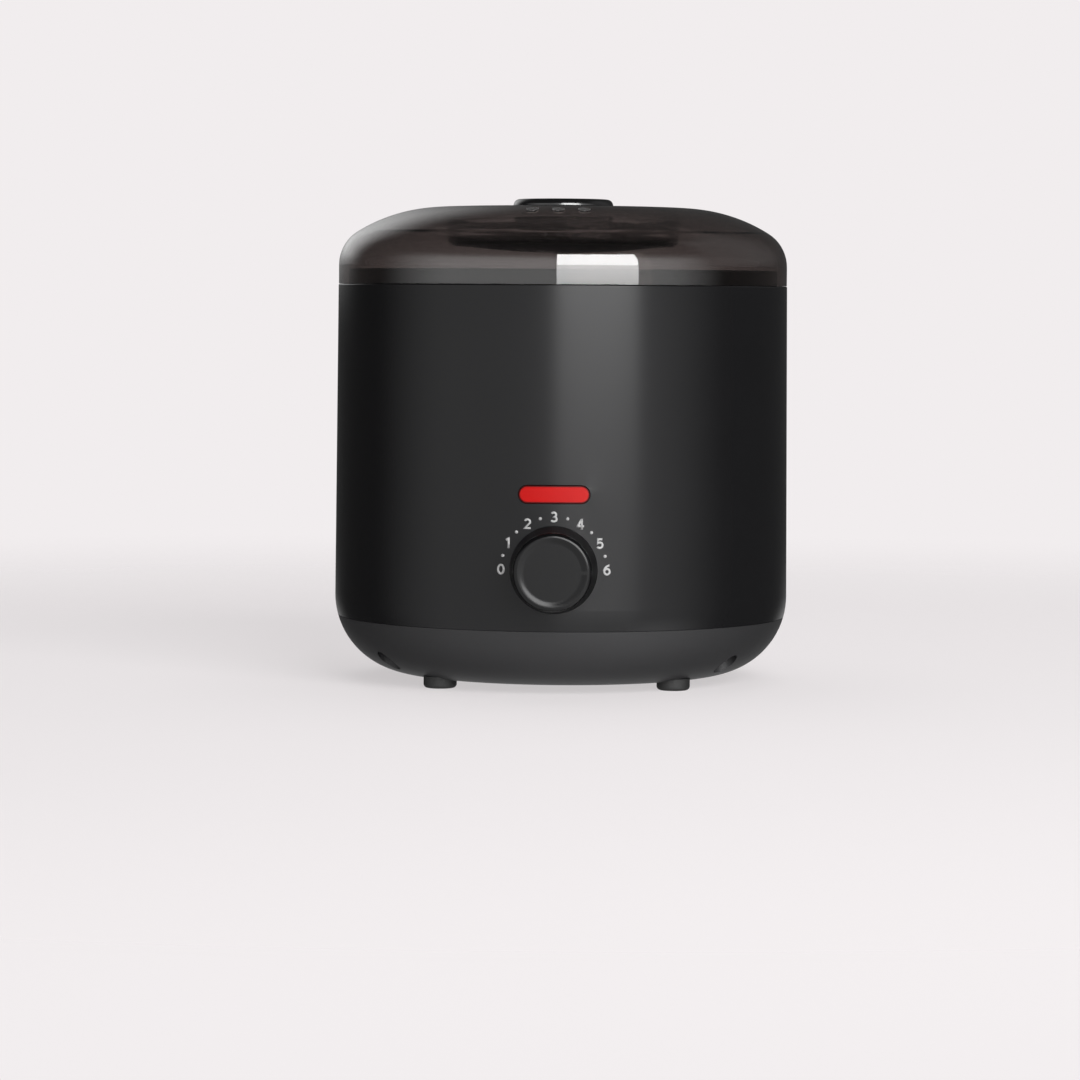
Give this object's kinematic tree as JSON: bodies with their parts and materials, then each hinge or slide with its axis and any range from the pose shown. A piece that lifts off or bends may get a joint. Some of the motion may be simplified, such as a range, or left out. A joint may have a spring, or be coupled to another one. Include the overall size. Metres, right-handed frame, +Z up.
{
  "type": "wax heater",
  "caption": "Round countertop wax heater with a dial thermostat, a pill-shaped indicator lens, a lift-out pot and a smoked lid with a sunk grip.",
  "frame": {"origin": "on the body's axis, in the plane that the feet stand on", "axes": "+Z up along the axis of the round body, -Y towards the dial at the front, +X to the right of someone facing the dial"},
  "size_m": [0.16, 0.1781, 0.1696],
  "materials": {
    "shell_plastic": "satin black moulded plastic",
    "base_plastic": "matte charcoal moulded plastic",
    "collar_plastic": "black heat-proof plastic",
    "smoked_plastic": "polished smoked clear plastic",
    "knob_plastic": "gloss black moulded plastic",
    "lens_plastic": "translucent red plastic",
    "pot_aluminium": "spun aluminium",
    "sheet_steel": "plated sheet and screws",
    "foot_rubber": "matte black rubber",
    "white_ceramic": "unglazed ceramic",
    "brass": "plain brass",
    "felt": "heat-proof felt",
    "lamp_glass": "lamp glass",
    "holder_plastic": "natural nylon",
    "lead_sleeve": "silicone-rubber lead covering"
  },
  "bodies": {
    "housing": {"outer_shell": "shell_plastic", "base_pan": "base_plastic", "rim_collar": "collar_plastic", "heating_bucket": "pot_aluminium", "heating_band": "sheet_steel", "band_clamp": "sheet_steel", "clamp_bolt": "sheet_steel", "insulation_wrap": "felt", "thermostat_bracket": "sheet_steel", "thermostat_body": "white_ceramic", "thermostat_terminals": "brass", "thermostat_nut": "sheet_steel", "indicator_lens": "lens_plastic", "lamp_holder": "holder_plastic", "indicator_lamp": "lamp_glass", "capillary_sensor": "brass", "sensor_clip": "sheet_steel", "thermal_fuse": "sheet_steel", "fuse_clip": "sheet_steel", "terminal_block": "white_ceramic", "terminal_screws": "brass", "cord_gland": "foot_rubber", "foot_front_right": "foot_rubber", "foot_front_left": "foot_rubber", "foot_rear_right": "foot_rubber", "foot_rear_left": "foot_rubber", "base_screws": "sheet_steel", "collar_screws": "sheet_steel", "supply_lead": "lead_sleeve", "heater_leads": "lead_sleeve", "lamp_leads": "lead_sleeve"},
    "dial": {"temperature_knob": "knob_plastic", "thermostat_shaft": "sheet_steel"},
    "pot": {"inner_pot": "pot_aluminium"},
    "lid": {"lid_dome": "smoked_plastic", "lid_knob": "knob_plastic", "lid_knob_screw": "sheet_steel"}
  },
  "joints": [
    {"name": "dial_turn", "type": "hinge", "parent": "housing", "child": "dial", "pos_m": [0, -0.0805, 0.0438], "axis": [0, 1, 0], "range_deg": [-180, 0]},
    {"name": "pot_lift", "type": "slide", "parent": "housing", "child": "pot", "axis": [0, 0, 1], "range_m": [0, 0.095]},
    {"name": "lid_lift", "type": "slide", "parent": "pot", "child": "lid", "axis": [0, 0, 1], "range_m": [0, 0.08]}
  ]
}
